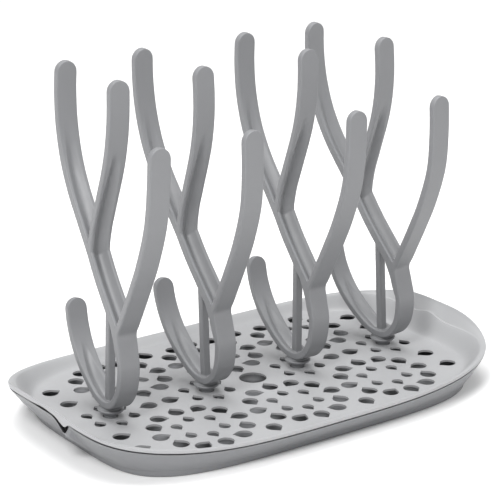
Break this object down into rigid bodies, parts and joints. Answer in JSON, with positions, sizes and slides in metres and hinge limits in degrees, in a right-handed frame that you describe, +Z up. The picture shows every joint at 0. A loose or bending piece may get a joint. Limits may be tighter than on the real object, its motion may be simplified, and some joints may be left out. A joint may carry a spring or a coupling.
{
  "type": "bottle drying rack",
  "caption": "Bottle drying rack: a row of branching prong trees plugged into a perforated drain grid that rests on a drip tray.",
  "frame": {"origin": "on the surface the rack stands on, under the middle of the drip tray", "axes": "+Z up; X along the row of trees; each tree spreads its prongs along Y, with its hook towards +Y"},
  "size_m": [0.3124, 0.1894, 0.2252],
  "materials": {
    "tree_grey": "satin moulded plastic",
    "grid_grey": "satin moulded plastic",
    "tray_grey": "satin moulded plastic"
  },
  "bodies": {
    "tray": {"drip_tray": "tray_grey"},
    "grid": {"drain_grid": "grid_grey"},
    "tree_1": {"tree_1": "tree_grey"},
    "tree_2": {"tree_2": "tree_grey"},
    "tree_3": {"tree_3": "tree_grey"},
    "tree_4": {"tree_4": "tree_grey"}
  },
  "joints": [
    {"name": "grid_lift", "type": "slide", "parent": "tray", "child": "grid", "axis": [0, 0, 1], "range_m": [0, 0.05]},
    {"name": "tree_1_lift", "type": "slide", "parent": "grid", "child": "tree_1", "axis": [0.0383, -0.0025, 0.9993], "range_m": [0, 0.04]},
    {"name": "tree_2_lift", "type": "slide", "parent": "grid", "child": "tree_2", "axis": [-0.0175, 0, 0.9998], "range_m": [0, 0.04]},
    {"name": "tree_3_lift", "type": "slide", "parent": "grid", "child": "tree_3", "axis": [0.0175, 0, 0.9998], "range_m": [0, 0.04]},
    {"name": "tree_4_lift", "type": "slide", "parent": "grid", "child": "tree_4", "axis": [-0.0383, -0.0025, 0.9993], "range_m": [0, 0.04]}
  ]
}
